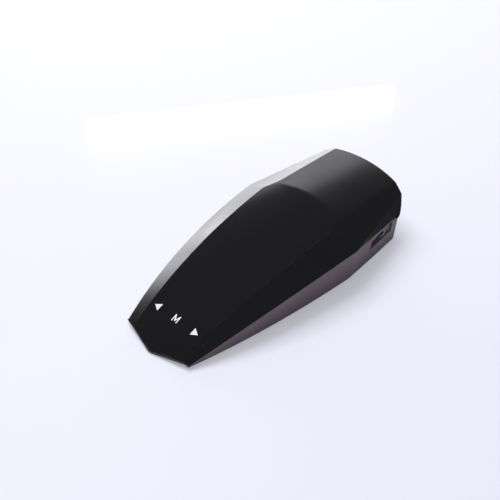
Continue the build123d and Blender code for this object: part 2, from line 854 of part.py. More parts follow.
def make_all():
    """Every node with its solids."""
    parts = {"top_cover": make_top_cover(), "lower_case": make_lower_case()}
    for name, prism in key_prisms.items():
        parts[name] = shell & prism
    parts["rear_window"] = shell & window_block()
    parts["touch_film"] = make_touch_film()
    parts["key_lamps"] = make_key_lamps()
    parts["film_tail"] = make_film_tail()
    parts["film_connector"] = on_board(0, connector_start + connector_size[1] / 2, connector_size, 0)
    parts["main_board"] = make_main_board()
    parts["display_module"] = make_display()
    parts["display_digits"] = make_digits()
    parts["processor"] = on_board(-9.0, 76.0, (10.0, 10.0, 1.4))
    parts["voice_memory"] = on_board(3.0, 76.0, (5.2, 6.0, 1.2))
    parts["audio_amplifier"] = on_board(11.0, 75.0, (4.0, 5.0, 1.2))
    parts["antenna_patch"] = on_board(0, antenna_distance, (antenna_size, antenna_size, antenna_height), 0)
    plate_lift = antenna_height
    plate = (antenna_plate, antenna_plate, antenna_plate_thickness)
    parts["antenna_plate"] = on_board(0, antenna_distance, plate, plate_lift)
    parts["backup_cell"] = rod(*cell_place, board_top, board_top + cell_height, cell_radius)
    parts["port_shell"] = make_socket_shell()
    parts["port_tongue"] = make_socket_tongue()
    parts["port_contacts"] = make_socket_contacts()
    parts["speaker_gasket"] = ring(floor_top, gasket_top, speaker_radius, speaker_radius - gasket_width)
    parts["speaker_basket"] = make_basket()
    parts["speaker_magnet"] = make_magnet()
    parts["speaker_cone"] = make_cone()
    parts["voice_coil"] = ring(cone_top, cone_top + coil_height, coil_outer_radius, coil_inner_radius)
    surround = speaker_radius - flange_width
    parts["speaker_surround"] = ring(cone_low, cone_low + cone_thickness, surround, surround - surround_width)
    parts["radar_horn"] = make_horn()
    parts["radar_mixer"] = on_board(0, horn_start - mixer_size[1] / 2, mixer_size)
    parts["laser_board"] = behind_horn(laser_board_size, laser_board_start)
    parts["laser_diode"] = diode_block(0)
    parts["laser_holder"] = make_laser_holder()
    parts["laser_lens"] = make_laser_lens()
    parts["case_screws"] = make_case_screws()
    parts["board_screws"] = make_board_screws()
    parts["rubber_feet"] = make_rubber_feet()
    parts["rating_label"] = make_rating_label()
    return parts


os.makedirs("parts", exist_ok=True)
for node, solid in make_all().items():
    export_step(solid, "parts/" + node + ".step")
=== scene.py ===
"""Dashboard radar detector: shells, key marks, port, boards, loudspeaker and receivers on a pale table.

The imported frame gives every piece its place. The cover and the case are worked out here as
surfaces, in millimetres, and stored in metres.
"""
from math import cos, pi, radians, sin

import bmesh
import bpy
import numpy as np
from bpy.props import FloatProperty, FloatVectorProperty, PointerProperty
from mathutils import Matrix, Vector


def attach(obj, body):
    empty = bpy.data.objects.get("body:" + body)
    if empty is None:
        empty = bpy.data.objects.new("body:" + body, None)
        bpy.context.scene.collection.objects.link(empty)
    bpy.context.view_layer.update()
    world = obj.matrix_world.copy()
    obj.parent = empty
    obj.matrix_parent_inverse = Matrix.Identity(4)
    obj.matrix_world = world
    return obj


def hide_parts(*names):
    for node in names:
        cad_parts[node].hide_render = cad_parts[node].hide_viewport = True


bl_info = {
    "name": "Dashboard radar detector",
    "version": (1, 0, 0),
    "blender": (4, 5, 0),
    "location": "3D View > Sidebar > Detector",
    "description": "Builds the visual pieces of a dashboard radar detector around its packed frame",
    "category": "Add Mesh",
}

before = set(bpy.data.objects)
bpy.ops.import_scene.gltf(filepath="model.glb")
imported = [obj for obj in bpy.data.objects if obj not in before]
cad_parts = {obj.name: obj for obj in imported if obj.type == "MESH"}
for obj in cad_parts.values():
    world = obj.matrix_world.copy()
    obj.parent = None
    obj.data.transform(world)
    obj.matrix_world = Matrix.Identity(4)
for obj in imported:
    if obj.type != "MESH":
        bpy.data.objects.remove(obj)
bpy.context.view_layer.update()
MM = 0.001

# Form of the shells in millimetres. Distances are counted from the nose tip.
LENGTH = 148.8
KINK = 99.7
RIDGE = 102.7
LEVEL = 158.7
CORNER = (35.6, KINK, 20.2)
REAR_PART = (27.3, LENGTH, 13.7)
SHOULDER = (24.3, LENGTH, 24.1)
REAR_EDGE = (19.6, LENGTH, 26.8)
NOSE_FALL = 5.3 / 19.0
NOSE_TIP = 6.0
REAR_RADIUS = 110.0
REAR_CORNER = 7.0
REAR_LEAN = 0.2
REVEAL = 0.3
GROOVE = 0.6
CASE_BASE = 0.4
CASE_FLOOR = 2.2
CASE_START = 5.6
CASE_WALL = 2.0


# ---------------------------------------------------------------- form of the shells
def bowed(s, at_nose, at_end, end, power):
    """Start plus rise times 1 - (1 - s / level) ** power, scaled so that it reaches at_end at end."""
    grown = 1 - np.clip(1 - s / LEVEL, 0, None) ** power
    return at_nose + (at_end - at_nose) * grown / (1 - (1 - end / LEVEL) ** power)


def straight(s, start, at_start, at_rear):
    """Straight line from its start to the rear face."""
    return at_start + (at_rear - at_start) * (s - start) / (LENGTH - start)


def front_lines(s):
    """Side, parting height, panel edge, panel height and crown ahead of the kink."""
    return (bowed(s, 19.0, 35.6, KINK, 2.75), bowed(s, 0.3, 20.2, KINK, 2.9),
            bowed(s, 14.5, 23.0, RIDGE, 3.0), bowed(s, 1.25, 28.2, RIDGE, 2.6), 0.3 + 2.3 * s / RIDGE)


def rear_lines(s):
    """The same lines behind the kink."""
    return (straight(s, KINK, 35.6, 27.3), straight(s, KINK, 20.2, 13.7), straight(s, RIDGE, 23.0, 19.6),
            straight(s, RIDGE, 28.2, 26.8), straight(s, RIDGE, 3.05, 1.6))


def side_and_parting(s):
    """Half width and height of the parting line: front lines up to the kink, rear lines behind it."""
    front, rear = front_lines(s), rear_lines(s)
    return np.where(s < KINK, front[0], rear[0]), np.where(s < KINK, front[1], rear[1])


def nose_start(x):
    """Distance at which the nose begins: an arc at the tip, then a straight line on each side."""
    x = np.abs(x)
    joint = NOSE_TIP * NOSE_FALL / np.sqrt(1 + NOSE_FALL ** 2)
    arc = NOSE_TIP - np.sqrt(NOSE_TIP ** 2 - np.clip(x, 0, joint) ** 2)
    return arc + NOSE_FALL * np.clip(x - joint, 0, None)


def rear_end(x, z, inset=0.0):
    """Distance of the rear face: a plan arc, a tangent corner arc, and a lean that grows with height."""
    foot = LENGTH - REAR_LEAN * 28.4
    big, small = REAR_RADIUS - inset, REAR_CORNER - inset
    corner_x = 22.4
    corner_s = foot - REAR_RADIUS + np.sqrt((big - small) ** 2 - corner_x ** 2)
    x = np.abs(x)
    middle = foot - REAR_RADIUS + np.sqrt(big ** 2 - x ** 2)
    corner = corner_s + np.sqrt(np.clip(small ** 2 - (x - corner_x) ** 2, 0.05, None))
    return np.where(x < corner_x * big / (big - small), middle, corner) + REAR_LEAN * z


def soft_min(a, b, soft):
    """The smaller of two, less a quarter of the squared overlap of their soft band over its width."""
    band = np.clip(soft - np.abs(a - b), 0, None)
    return np.minimum(a, b) - band ** 2 / (4 * soft), band / soft


def plane_of(first, second, third):
    """Normal and offset of the plane through three points given as x, distance, z."""
    a, b, c = (np.array(p, float) for p in (first, second, third))
    normal = np.cross(b - a, c - a)
    normal = normal / np.linalg.norm(normal)
    if normal[2] < 0:
        normal = -normal
    return normal, normal @ a


def to_arc(edge, top, crown, middle, dx, dz):
    """Length along a ray to a circular crown: the positive root of the quadratic for ray and circle."""
    crown = np.clip(crown, 0.05, None)
    radius = (edge ** 2 + crown ** 2) / (2 * crown)
    lift = middle - (top + crown - radius)
    half = dz * lift
    return -half + np.sqrt(np.clip(half ** 2 - lift ** 2 + radius ** 2, 0, None))


def to_line(nx, nz, rest, dx, dz):
    """Length along a ray to a line: what is left of its offset over the ray's speed towards it."""
    speed = nx * dx + nz * dz
    return np.where(speed > 1e-6, rest / np.clip(speed, 1e-6, None), 1e3)


def section(s, v, soft):
    """Point of the cover's section at distance s, where v runs from -1 (left) over 0 to 1 (right).

    A ray from the middle of the parting level through a nominal corner path meets the front panel,
    rear panel, front chamfer, rear chamfer and steep side. The nearest counts, with a soft minimum
    that rounds the corners. Returns x, z and how near the point is to a rounded corner.
    """
    side, part = side_and_parting(s)
    f_side, f_part, f_edge, f_top, f_crown = front_lines(s)
    r_side, r_part, r_edge, r_top, r_crown = rear_lines(s)
    share = np.clip((s - KINK) / (RIDGE - KINK), 0, 1)
    edge, top = f_edge + (r_edge - f_edge) * share, f_top + (r_top - f_top) * share
    crown = f_crown + (r_crown - f_crown) * share
    behind = np.clip((s - KINK) / (LENGTH - KINK), 0, 1)
    shoulder_x = CORNER[0] + (SHOULDER[0] - CORNER[0]) * behind
    shoulder_z = CORNER[2] + (SHOULDER[2] - CORNER[2]) * behind
    early = np.clip(1 - behind * 5, 0, 1)
    shoulder_x = shoulder_x + early * (side + 0.12 * (edge - side) - shoulder_x)
    shoulder_z = shoulder_z + early * (part + 0.12 * (top - part) - shoulder_z)
    w = np.abs(v)
    crown_x = edge * w / 0.62
    crown_z = top + crown * (1 - (w / 0.62) ** 2)
    b = np.clip((w - 0.62) / 0.23, 0, 1)
    c = np.clip((w - 0.85) / 0.15, 0, 1)
    x = np.where(w < 0.62, crown_x, edge + (shoulder_x - edge) * b + (side - shoulder_x) * c)
    z = np.where(w < 0.62, crown_z, top + (shoulder_z - top) * b + (part - shoulder_z) * c)
    reach = np.hypot(x, z - part)
    dx, dz = x / reach, (z - part) / reach
    rho = to_arc(f_edge, f_top, f_crown, part, dx, dz)
    fall = np.arctan2(f_top - f_part, f_side - f_edge)
    nx, nz = np.sin(fall), np.cos(fall)
    rho, near = soft_min(rho, to_line(nx, nz, nx * f_edge + nz * (f_top - part), dx, dz), soft)
    near = near * (s < RIDGE)
    for plane in (plane_of(CORNER, SHOULDER, REAR_EDGE), plane_of(CORNER, REAR_PART, SHOULDER)):
        normal, offset = plane
        rest = offset - normal[1] * s - normal[2] * part
        rho, close = soft_min(rho, to_line(normal[0], normal[2], rest, dx, dz), soft)
        near = np.maximum(near, close)
    rho, close = soft_min(rho, to_arc(r_edge, r_top, r_crown, part, dx, dz), soft * 2.4)
    near = np.maximum(near, close * 0.6)
    return np.sign(v) * rho * dx, part + rho * dz, near


def spread(knots, counts):
    """Values from knot to knot, each stretch split into its count and eased towards both knots."""
    parts = []
    for i, count in enumerate(counts):
        t = np.linspace(0, 1, count, endpoint=False)
        eased = t + 0.35 * (t * t * (3 - 2 * t) - t)
        parts.append(knots[i] + (knots[i + 1] - knots[i]) * eased)
    return np.append(np.concatenate(parts), knots[-1])


def points(x, s, z):
    """Grid of points in millimetres from lateral place, distance from the nose and height."""
    return np.stack(np.broadcast_arrays(x, s - LENGTH / 2, z), -1)


def grid_normals(p):
    """Cross product of the differences along both ways of a grid, made one long."""
    n = np.cross(np.gradient(p, axis=0), np.gradient(p, axis=1))
    return n / np.maximum(np.linalg.norm(n, axis=-1, keepdims=True), 1e-9)


def cover_outer(v, stations, soft, round_edge):
    """The cover's outside as rows from under the nose, over the top, to under the rear face.

    Rows slide so that the first follows the nose and the last the rear face. A quarter round of
    the section's normal towards the end face joins them to rows that drop to the parting line.
    """
    s0 = stations[:, None] + 0 * v[None, :]
    s = s0.copy()
    for _ in range(12):
        x, z, near = section(s, v[None, :], soft)
        ahead = np.clip(1 - s0 / 26.0, 0, 1) ** 2
        behind = np.clip((s0 - 112.0) / (LENGTH - 112.0), 0, 1) ** 2
        start = nose_start(x) + round_edge
        s = s0 + ahead * start - behind * (LENGTH - rear_end(x, z) + round_edge)
    top = points(x, s, z)
    normal = grid_normals(top)
    normal *= np.sign(normal[..., 2:3].mean())
    # Nearness to a rounded corner also marks where the painted edge highlight goes.
    rows, highlight_marks = [top], [near]
    for first, row in ((True, 0), (False, -1)):
        q, n = top[row], normal[row]
        if first:
            step = (nose_start(q[:, 0] + 0.2) - nose_start(q[:, 0] - 0.2)) / 0.4
            face = np.stack([step, -1 + 0 * step, 0 * step], 1)
        else:
            step = (rear_end(q[:, 0] + 0.2, q[:, 2]) - rear_end(q[:, 0] - 0.2, q[:, 2])) / 0.4
            face = np.stack([-step, 1 + 0 * step, -REAR_LEAN + 0 * step], 1)
        face /= np.linalg.norm(face, axis=1)[:, None]
        n = n - (n * face).sum(1)[:, None] * face
        n /= np.linalg.norm(n, axis=1)[:, None]
        over_parting = q[:, 2] - side_and_parting(q[:, 1] + LENGTH / 2)[1]
        room = np.clip(over_parting / (2 * round_edge), 0, 1)[:, None]
        radius = round_edge * room
        turn = np.linspace(0, pi / 2, 6)[1:, None, None]
        bend = q + face * (round_edge - radius) + radius * (np.sin(turn) * face + (np.cos(turn) - 1) * n)
        last = bend[-1]
        part = side_and_parting(last[:, 1] + LENGTH / 2)[1]
        part = np.maximum(part, CASE_BASE)
        t = np.linspace(0, 1, 8)[1:, None]
        z = last[:, 2] + t * np.minimum(part - last[:, 2], 0)
        x = last[:, 0] + 0 * t
        s_face = nose_start(x) if first else rear_end(x, z)
        drop = points(x, s_face, z)
        block = np.concatenate([bend, drop])
        # Rounded rows are marked for the painted edge highlight.
        marks = np.concatenate([np.ones(bend.shape[:2]), np.zeros(drop.shape[:2])])
        if first:
            rows.insert(0, block[::-1])
            highlight_marks.insert(0, marks[::-1])
        else:
            rows.append(block)
            highlight_marks.append(marks)
    return np.concatenate(rows), np.concatenate(highlight_marks)


def strip_faces(rows, columns, closed=False, start=0):
    """Quads of a grid stored row by row; the columns close on themselves if asked."""
    wrap = columns if closed else columns - 1
    i, j = np.meshgrid(np.arange(rows - 1), np.arange(wrap), indexing="ij")
    k = (j + 1) % columns
    quads = np.stack([i * columns + j, i * columns + k, (i + 1) * columns + k, (i + 1) * columns + j], -1)
    return quads.reshape(-1, 4) + start


def loop_of(rows, columns):
    """Indices of a grid's boundary, once round."""
    grid = np.arange(rows * columns).reshape(rows, columns)
    return np.concatenate([grid[0, :-1], grid[:-1, -1], grid[-1, :0:-1], grid[:0:-1, 0]])


def make_piece(name, verts, faces, material, body="housing", replaces=(), slot=None, sharp=32.0, highlight_marks=None):
    """Mesh object from arrays in millimetres, with outward normals, that rides on its body."""
    mesh = bpy.data.meshes.new(name)
    mesh.from_pydata((np.asarray(verts) * MM).tolist(), [], [list(f) for f in faces])
    # The marks for the painted edge highlight are kept as the corner attribute.
    if highlight_marks is not None:
        mesh.attributes.new("corner", "FLOAT", "POINT").data.foreach_set("value", highlight_marks.astype(np.float32))
    tidy_mesh(mesh)
    piece = bpy.data.objects.new(name, mesh)
    bpy.context.scene.collection.objects.link(piece)
    return settle(piece, material, body, replaces, sharp)


def tidy_mesh(mesh):
    """Merges doubles, drops empty faces and turns the faces outwards."""
    work = bmesh.new()
    work.from_mesh(mesh)
    bmesh.ops.remove_doubles(work, verts=work.verts, dist=2e-6)
    bmesh.ops.dissolve_degenerate(work, edges=work.edges, dist=1e-6)
    bmesh.ops.recalc_face_normals(work, faces=work.faces)
    work.to_mesh(mesh)
    work.free()


def settle(piece, material, body, replaces, sharp):
    """Gives a piece its shading, material and body, and hides the CAD parts it replaces."""
    mesh = piece.data
    mesh.materials.clear()
    mesh.materials.append(material)
    mesh.polygons.foreach_set("use_smooth", np.ones(len(mesh.polygons), bool))
    mesh.set_sharp_from_angle(angle=radians(sharp))
    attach(piece, body)
    if replaces:
        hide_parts(*replaces)
    return piece


def prism(outline, low, high, to_point):
    """Closed prism of an outline between two levels; to_point turns a, b, level into x, y, z."""
    a, b = np.asarray(outline, float).T
    count = len(a)
    verts = np.concatenate([np.stack(to_point(a, b, level + 0 * a), 1) for level in (low, high)])
    faces = [list(range(count))[::-1], list(range(count, 2 * count))]
    faces += [[i, (i + 1) % count, count + (i + 1) % count, count + i] for i in range(count)]
    return verts, faces


def joined(parts):
    """Several vertex and face lists as one."""
    verts, faces, base = [], [], 0
    for v, f in parts:
        verts.append(v)
        faces += [[i + base for i in face] for face in f]
        base += len(v)
    return np.concatenate(verts), faces


def upright(a, b, level):
    """Outline in x and distance, level in height."""
    return a, b - LENGTH / 2, level


def sideways(a, b, level):
    """Outline in distance and height, level in x."""
    return level, a - LENGTH / 2, b


def ring_points(x, s, radius, count=48):
    """Circle about a place, as x and distance."""
    t = np.linspace(0, 2 * pi, count, endpoint=False)
    return np.stack([x + radius * np.cos(t), s + radius * np.sin(t)], 1)


def slot_points(s, half, radius, count=10):
    """Long slot across the body at a distance: two half circles joined by straight sides."""
    t = np.linspace(-pi / 2, pi / 2, count)
    right = np.stack([half - radius + radius * np.cos(t), s + radius * np.sin(t)], 1)
    return np.concatenate([right, np.stack([-right[:, 0], 2 * s - right[:, 1]], 1)])


def rounded_box(centre, half, radius, count=5):
    """Rectangle with quarter-round corners."""
    corners = []
    for k, (sx, sy) in enumerate(((1, 1), (-1, 1), (-1, -1), (1, -1))):
        t = np.linspace(k * pi / 2, (k + 1) * pi / 2, count)
        corners.append(np.stack([centre[0] + sx * (half[0] - radius) + radius * np.cos(t),
                                 centre[1] + sy * (half[1] - radius) + radius * np.sin(t)], 1))
    return np.concatenate(corners)


# ---------------------------------------------------------------- shared effects
def link(tree, source, target):
    """Joins two sockets."""
    tree.links.new(source, target)


def place(tree, kind, **values):
    """Adds a node and sets its properties and unnamed inputs."""
    node = tree.nodes.new(kind)
    for name, value in values.items():
        if name in node.inputs:
            node.inputs[name].default_value = value
        else:
            setattr(node, name, value)
    return node


def start_group(name, inputs, outputs):
    """New shader node group with its sockets; returns the group, its inputs and its outputs.

    Inputs are names with their defaults. A name that ends in Color is a colour, any other a number.
    """
    group = bpy.data.node_groups.new(name, "ShaderNodeTree")
    for labels, way in ((inputs, "INPUT"), (outputs, "OUTPUT")):
        for label in labels:
            kind = "NodeSocketColor" if label.endswith("Color") else "NodeSocketFloat"
            socket = group.interface.new_socket(label, in_out=way, socket_type=kind)
            if way == "INPUT":
                socket.default_value = inputs[label]
    return group, group.nodes.new("NodeGroupInput"), group.nodes.new("NodeGroupOutput")


def noise_in(tree, vector, scale, detail, rough=0.5):
    """Noise texture on a vector; scale may be a number or a socket."""
    node = place(tree, "ShaderNodeTexNoise", Detail=detail, Roughness=rough)
    link(tree, vector, node.inputs["Vector"])
    if isinstance(scale, (int, float)):
        node.inputs["Scale"].default_value = scale
    else:
        link(tree, scale, node.inputs["Scale"])
    return node.outputs["Fac"]


def ramp_of(tree, value, low, high, to_low=0.0, to_high=1.0):
    """Smooth step of a value between two levels."""
    node = place(tree, "ShaderNodeMapRange", interpolation_type="SMOOTHSTEP")
    link(tree, value, node.inputs["Value"])
    for label, amount in (("From Min", low), ("From Max", high), ("To Min", to_low), ("To Max", to_high)):
        node.inputs[label].default_value = amount
    return node.outputs["Result"]


def maths(tree, operation, first, second):
    """One sum, product or other operation on two values or sockets."""
    node = place(tree, "ShaderNodeMath", operation=operation)
    for i, item in enumerate((first, second)):
        if isinstance(item, (int, float)):
            node.inputs[i].default_value = item
        else:
            link(tree, item, node.inputs[i])
    return node.outputs[0]


def grain_group():
    """Moulded grain: fine noise for height, and a second octave that varies the roughness."""
    inputs = {"Scale": 900.0, "Roughness": 0.4, "Spread": 0.05}
    group, given, out = start_group("moulded_grain", inputs, ["Height", "Roughness"])
    place_at = place(group, "ShaderNodeTexCoord").outputs["Object"]
    fine = noise_in(group, place_at, given.outputs["Scale"], 3.0)
    broad = noise_in(group, place_at, 60.0, 4.0)
    link(group, fine, out.inputs["Height"])
    swing = maths(group, "MULTIPLY", maths(group, "SUBTRACT", broad, 0.5), given.outputs["Spread"])
    link(group, maths(group, "ADD", given.outputs["Roughness"], swing), out.inputs["Roughness"])
    return group


def handling_group():
    """Handling marks: sparse finger smudges and dust specks as one mask and one roughness shift."""
    group, given, out = start_group("handling_marks", {"Amount": 0.5}, ["Smudge", "Dust"])
    place_at = place(group, "ShaderNodeTexCoord").outputs["Object"]
    cloud = ramp_of(group, noise_in(group, place_at, 35.0, 5.0, 0.6), 0.52, 0.72)
    wave = place(group, "ShaderNodeTexWave", wave_type="RINGS", Scale=420.0, Distortion=6.0, Detail=2.0)
    link(group, place_at, wave.inputs["Vector"])
    print_mask = maths(group, "MULTIPLY", cloud, ramp_of(group, wave.outputs["Fac"], 0.2, 0.8, 0.45, 1.0))
    link(group, maths(group, "MULTIPLY", print_mask, given.outputs["Amount"]), out.inputs["Smudge"])
    cells = place(group, "ShaderNodeTexVoronoi", Scale=330.0)
    link(group, place_at, cells.inputs["Vector"])
    speck = ramp_of(group, cells.outputs["Distance"], 0.03, 0.07, 1.0, 0.0)
    sparse = ramp_of(group, noise_in(group, place_at, 90.0, 2.0), 0.55, 0.7)
    specks = maths(group, "MULTIPLY", speck, sparse)
    link(group, maths(group, "MULTIPLY", specks, given.outputs["Amount"]), out.inputs["Dust"])
    return group


def drift_group():
    """Slow drift of tone: a colour made a little lighter and darker by broad noise."""
    group, given, out = start_group("tone_drift", {"Color": (0.5, 0.5, 0.5, 1), "Amount": 0.1}, ["Color"])
    place_at = place(group, "ShaderNodeTexCoord").outputs["Object"]
    cloud = noise_in(group, place_at, 28.0, 3.0)
    swing = maths(group, "MULTIPLY", maths(group, "SUBTRACT", cloud, 0.5), given.outputs["Amount"])
    gain = maths(group, "ADD", swing, 1.0)
    scale = place(group, "ShaderNodeVectorMath", operation="SCALE")
    link(group, given.outputs["Color"], scale.inputs[0])
    link(group, gain, scale.inputs["Scale"])
    link(group, scale.outputs["Vector"], out.inputs["Color"])
    return group


def brushed_group():
    """Brushed or drawn metal: noise stretched along Y for height and roughness."""
    inputs = {"Roughness": 0.3, "Spread": 0.15}
    group, given, out = start_group("drawn_metal", inputs, ["Height", "Roughness"])
    coord = place(group, "ShaderNodeTexCoord").outputs["Object"]
    squeeze = place(group, "ShaderNodeMapping")
    squeeze.inputs["Scale"].default_value = (2600.0, 90.0, 2600.0)
    link(group, coord, squeeze.inputs["Vector"])
    lines = noise_in(group, squeeze.outputs["Vector"], 1.0, 3.0)
    link(group, lines, out.inputs["Height"])
    swing = maths(group, "MULTIPLY", maths(group, "SUBTRACT", lines, 0.5), given.outputs["Spread"])
    link(group, maths(group, "ADD", given.outputs["Roughness"], swing), out.inputs["Roughness"])
    return group


def tracks_group():
    """Circuit tracks: cell borders of a square-metric Voronoi pattern, and round pads at cell centres."""
    group, given, out = start_group("circuit_tracks", {"Scale": 320.0}, ["Track", "Pad"])
    coord = place(group, "ShaderNodeTexCoord").outputs["Object"]
    cells = place(group, "ShaderNodeTexVoronoi", distance="CHEBYCHEV", feature="F1")
    border = place(group, "ShaderNodeTexVoronoi", distance="CHEBYCHEV", feature="F2")
    for node in (cells, border):
        link(group, coord, node.inputs["Vector"])
        link(group, given.outputs["Scale"], node.inputs["Scale"])
    gap = maths(group, "SUBTRACT", border.outputs["Distance"], cells.outputs["Distance"])
    link(group, ramp_of(group, gap, 0.03, 0.07, 1.0, 0.0), out.inputs["Track"])
    dots = place(group, "ShaderNodeTexVoronoi", Scale=520.0)
    link(group, coord, dots.inputs["Vector"])
    link(group, ramp_of(group, dots.outputs["Distance"], 0.12, 0.16, 1.0, 0.0), out.inputs["Pad"])
    return group


def shader_of(name):
    """New node material; returns it, its tree and its shader."""
    material = bpy.data.materials.new(name)
    material.use_nodes = True
    tree = material.node_tree
    return material, tree, tree.nodes["Principled BSDF"]


def use_group(tree, group, **values):
    """Places a shared effect and sets its inputs."""
    node = tree.nodes.new("ShaderNodeGroup")
    node.node_tree = group
    for name, value in values.items():
        node.inputs[name].default_value = value
    return node


def mix_colours(tree, mask, first, second):
    """Mix of two colours or sockets by a mask."""
    node = place(tree, "ShaderNodeMix", data_type="RGBA")
    link(tree, mask, node.inputs[0])
    for index, item in ((6, first), (7, second)):
        if isinstance(item, tuple):
            node.inputs[index].default_value = item
        else:
            link(tree, item, node.inputs[index])
    return node.outputs[2]


def bump(tree, shader, height, depth, strength=1.0):
    """Relief of a height socket, its depth in millimetres."""
    node = place(tree, "ShaderNodeBump", Strength=strength, Distance=depth * MM)
    link(tree, height, node.inputs["Height"])
    link(tree, node.outputs["Normal"], shader.inputs["Normal"])


def plastic(groups, name, colour, roughness, grain=900.0, depth=0.01, amount=0.4, edge_highlight_colour=None, edge=None):
    """Moulded plastic: tone drift, grain, handling marks, and a painted highlight, a paler colour in patches
    along the rounded corners.
    """
    material, tree, shader = shader_of(name)
    tone = use_group(tree, groups["drift"], Color=(*colour, 1), Amount=0.18)
    grains = use_group(tree, groups["grain"], Scale=grain, Roughness=roughness, Spread=0.10)
    marks = use_group(tree, groups["marks"], Amount=amount)
    dust = maths(tree, "MULTIPLY", marks.outputs["Dust"], 0.35)
    dusted = mix_colours(tree, dust, tone.outputs["Color"], (0.5, 0.5, 0.5, 1))
    # Painted highlight: a paler colour mixed in along the rounded corners and the lip, where the corner
    # attribute is high, broken into noise patches.
    if edge_highlight_colour:
        corner = place(tree, "ShaderNodeAttribute", attribute_name="corner").outputs["Fac"]
        coord = place(tree, "ShaderNodeTexCoord").outputs["Object"]
        patch = ramp_of(tree, noise_in(tree, coord, 160.0, 4.0), 0.4, 0.65)
        edge_highlight = maths(tree, "MULTIPLY", maths(tree, "MULTIPLY", ramp_of(tree, corner, 0.6, 1.0), patch), edge)
        dusted = mix_colours(tree, edge_highlight, dusted, (*edge_highlight_colour, 1))
    link(tree, dusted, shader.inputs["Base Color"])
    shift = maths(tree, "MULTIPLY", marks.outputs["Smudge"], 0.12)
    link(tree, maths(tree, "ADD", grains.outputs["Roughness"], shift), shader.inputs["Roughness"])
    bump(tree, shader, grains.outputs["Height"], depth)
    return material


def metal(groups, name, colour, roughness, depth=0.004):
    """Drawn or plated metal with a slow drift of tone."""
    material, tree, shader = shader_of(name)
    tone = use_group(tree, groups["drift"], Color=(*colour, 1), Amount=0.25)
    lines = use_group(tree, groups["brushed"], Roughness=roughness, Spread=0.18)
    shader.inputs["Metallic"].default_value = 1.0
    link(tree, tone.outputs["Color"], shader.inputs["Base Color"])
    link(tree, lines.outputs["Roughness"], shader.inputs["Roughness"])
    bump(tree, shader, lines.outputs["Height"], depth)
    return material


def circuit_board(groups, name, colour):
    """Solder mask over tracks, with tinned pads."""
    material, tree, shader = shader_of(name)
    tracks = use_group(tree, groups["tracks"], Scale=300.0)
    raised = (colour[0] * 2 + 0.02, colour[1] * 1.7, colour[2] * 2, 1)
    masked = mix_colours(tree, tracks.outputs["Track"], (*colour, 1), raised)
    tinned = mix_colours(tree, tracks.outputs["Pad"], masked, (0.72, 0.62, 0.40, 1))
    link(tree, tinned, shader.inputs["Base Color"])
    link(tree, tracks.outputs["Pad"], shader.inputs["Metallic"])
    shader.inputs["Roughness"].default_value = 0.35
    bump(tree, shader, tracks.outputs["Track"], 0.03)
    return material


def light_guide(groups, name, colour, glow):
    """Milky light guide or lamp with a faint mottled glow."""
    material, tree, shader = shader_of(name)
    tone = use_group(tree, groups["drift"], Color=(*colour, 1), Amount=0.12)
    grains = use_group(tree, groups["grain"], Scale=1500.0, Roughness=0.38, Spread=0.1)
    link(tree, tone.outputs["Color"], shader.inputs["Base Color"])
    link(tree, tone.outputs["Color"], shader.inputs["Emission Color"])
    shader.inputs["Emission Strength"].default_value = glow
    link(tree, grains.outputs["Roughness"], shader.inputs["Roughness"])
    bump(tree, shader, grains.outputs["Height"], 0.005)
    return material


def clear_lens(name):
    """Clear lens with moulding ripple."""
    material, tree, shader = shader_of(name)
    shader.inputs["Base Color"].default_value = (0.93, 0.94, 0.97, 1)
    shader.inputs["Transmission Weight"].default_value = 0.9
    shader.inputs["Roughness"].default_value = 0.06
    coord = place(tree, "ShaderNodeTexCoord").outputs["Object"]
    bump(tree, shader, noise_in(tree, coord, 300.0, 2.0), 0.01)
    return material


def fibrous(groups, name, colour, scale, roughness):
    """Foam, felt or pressed paper: coarse cells that vary the tone and the relief."""
    material, tree, shader = shader_of(name)
    coord = place(tree, "ShaderNodeTexCoord").outputs["Object"]
    cells = place(tree, "ShaderNodeTexVoronoi", Scale=scale)
    link(tree, coord, cells.inputs["Vector"])
    shade = ramp_of(tree, cells.outputs["Distance"], 0.1, 0.6, 0.7, 1.15)
    scaled = place(tree, "ShaderNodeVectorMath", operation="SCALE")
    scaled.inputs[0].default_value = colour
    link(tree, shade, scaled.inputs["Scale"])
    link(tree, scaled.outputs["Vector"], shader.inputs["Base Color"])
    shader.inputs["Roughness"].default_value = roughness
    bump(tree, shader, cells.outputs["Distance"], 0.08)
    return material


class Palette:
    """Materials of this object, made once for all operators."""

    made = {}


